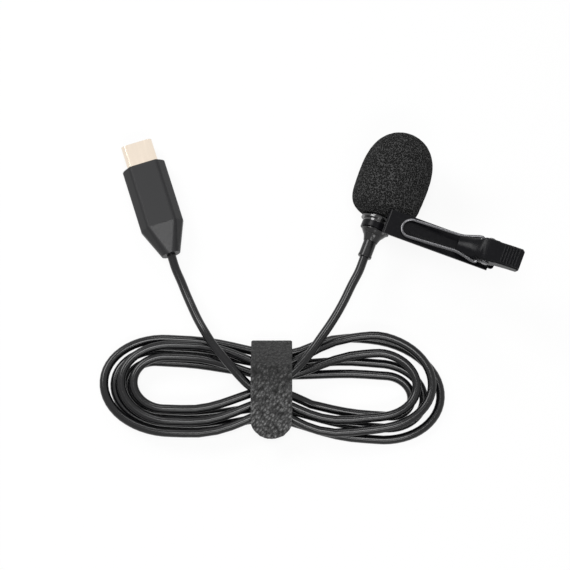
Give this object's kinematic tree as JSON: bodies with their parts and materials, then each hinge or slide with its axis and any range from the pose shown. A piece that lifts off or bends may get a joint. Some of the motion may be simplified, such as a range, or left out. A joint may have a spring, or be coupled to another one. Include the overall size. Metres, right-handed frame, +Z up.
{
  "type": "lavalier microphone",
  "caption": "Clip-on lapel microphone with a foam windscreen, a swivelling sprung clip, a hanked cable in a strap tie and a digital plug.",
  "frame": {"origin": "on the surface that the part lies on, under the middle of the microphone's and clip's box, cord and plug left out", "axes": "+Y along the microphone's axis, towards the foam's dome; +X along the clip, from the microphone to the thumb pad; +Z up"},
  "size_m": [0.109, 0.0975, 0.0267],
  "materials": {
    "foam": "open-cell foam, matte black",
    "grille": "pierced cap, dark nickel",
    "mesh": "fine acoustic cloth",
    "capsule_can": "drawn can, bright",
    "gasket": "soft rubber ring",
    "board": "green circuit board",
    "head_metal": "gloss black turned metal",
    "ferrule": "crimped ferrule",
    "copper": "tinned copper leads",
    "sleeve": "moulded sleeve, satin black",
    "clip_metal": "gloss black plated sheet",
    "wire": "gloss black plated wire",
    "spring_steel": "spring steel",
    "cord": "soft satin black jacket",
    "strap": "hook-and-loop strap, black",
    "plug_metal": "satin black anodised",
    "plug_plastic": "black plastic",
    "shell_metal": "pale gold plated steel",
    "contacts": "gold plated",
    "solder_parts": "small surface parts"
  },
  "bodies": {
    "microphone": {"mic_housing": "head_metal", "grille_cap": "grille", "dust_mesh": "mesh", "capsule": "capsule_can", "capsule_gasket": "gasket", "capsule_board": "board", "stop_flange": "head_metal", "rear_collar": "head_metal", "cable_anchor": "ferrule", "mic_leads": "copper", "mic_cord_end": "cord", "mic_strain_relief": "sleeve", "cord_mic_run": "cord", "cord_hank": "cord", "cord_plug_run": "cord", "cable_tie": "strap", "plug_barrel": "plug_metal", "plug_nose": "plug_plastic", "plug_tail": "plug_metal", "plug_cord_end": "cord", "plug_crimp": "ferrule", "plug_leads": "copper", "usb_shell": "shell_metal", "usb_insulator": "plug_plastic", "usb_contacts": "contacts", "usb_latches": "spring_steel", "plug_board": "board", "codec_chip": "plug_plastic", "board_parts": "solder_parts"},
    "windscreen": {"windscreen": "foam"},
    "clip": {"clip_base": "clip_metal", "pivot_pin": "wire", "torsion_spring": "spring_steel"},
    "lever": {"clip_lever": "clip_metal", "bail_wire": "wire"}
  },
  "joints": [
    {"name": "windscreen_pull", "type": "slide", "parent": "microphone", "child": "windscreen", "axis": [0, 1, 0], "range_m": [0, 0.025]},
    {"name": "clip_swivel", "type": "hinge", "parent": "microphone", "child": "clip", "pos_m": [-0.01435, -0.00928, 0.0093], "axis": [0, 1, 0], "continuous": true},
    {"name": "lever_press", "type": "hinge", "parent": "clip", "child": "lever", "pos_m": [0.01505, -0.00882, 0.0235], "axis": [0, 1, 0], "range_deg": [0, 14], "stiffness_Nm_per_rad": 0.05, "springref_deg": -12.61, "deforming": ["torsion_spring"]}
  ]
}
